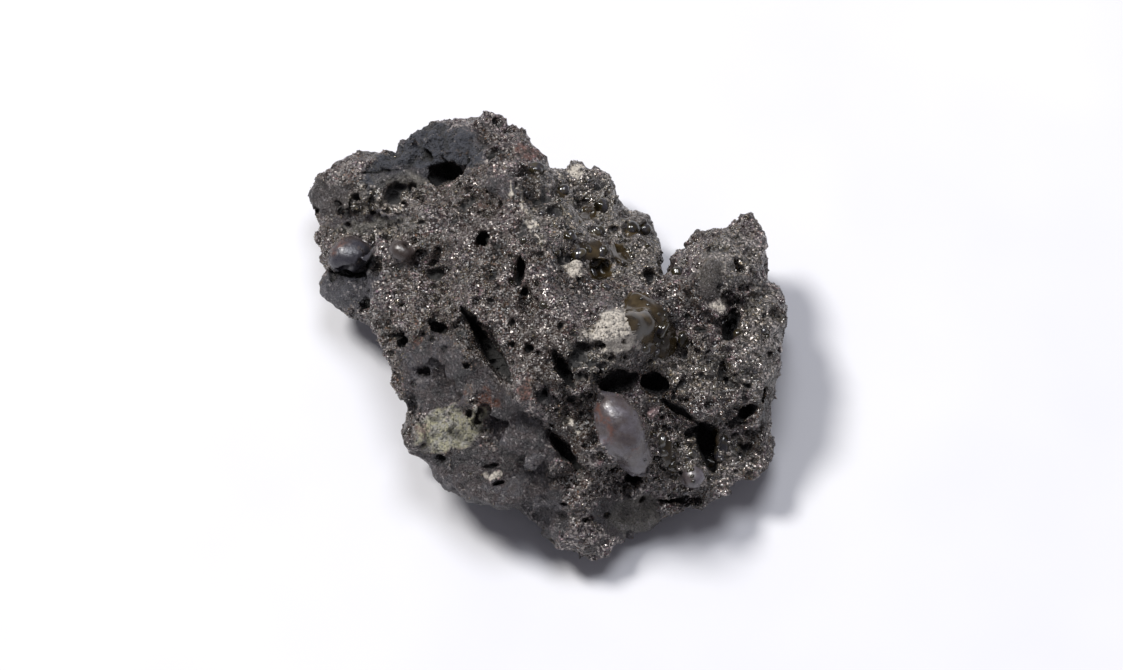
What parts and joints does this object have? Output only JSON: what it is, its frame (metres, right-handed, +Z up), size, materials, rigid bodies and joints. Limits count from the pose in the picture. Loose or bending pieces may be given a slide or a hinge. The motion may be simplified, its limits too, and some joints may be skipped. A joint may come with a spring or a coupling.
{
  "type": "slag",
  "caption": "Hand-sized lump of dark vesicular furnace slag: one fused piece with gas pits, slits, glassy blisters and pale patches, resting on a flat underside.",
  "frame": {"origin": "middle of the lump's bounding box, on the surface it rests on", "axes": "+Z up, +X to the right of the side that shows most, -Y towards the viewer of that side"},
  "size_m": [0.0622, 0.059, 0.0292],
  "materials": {
    "slag": "rough, with glassy spots"
  },
  "bodies": {
    "root": {"slag": "slag"}
  },
  "joints": []
}
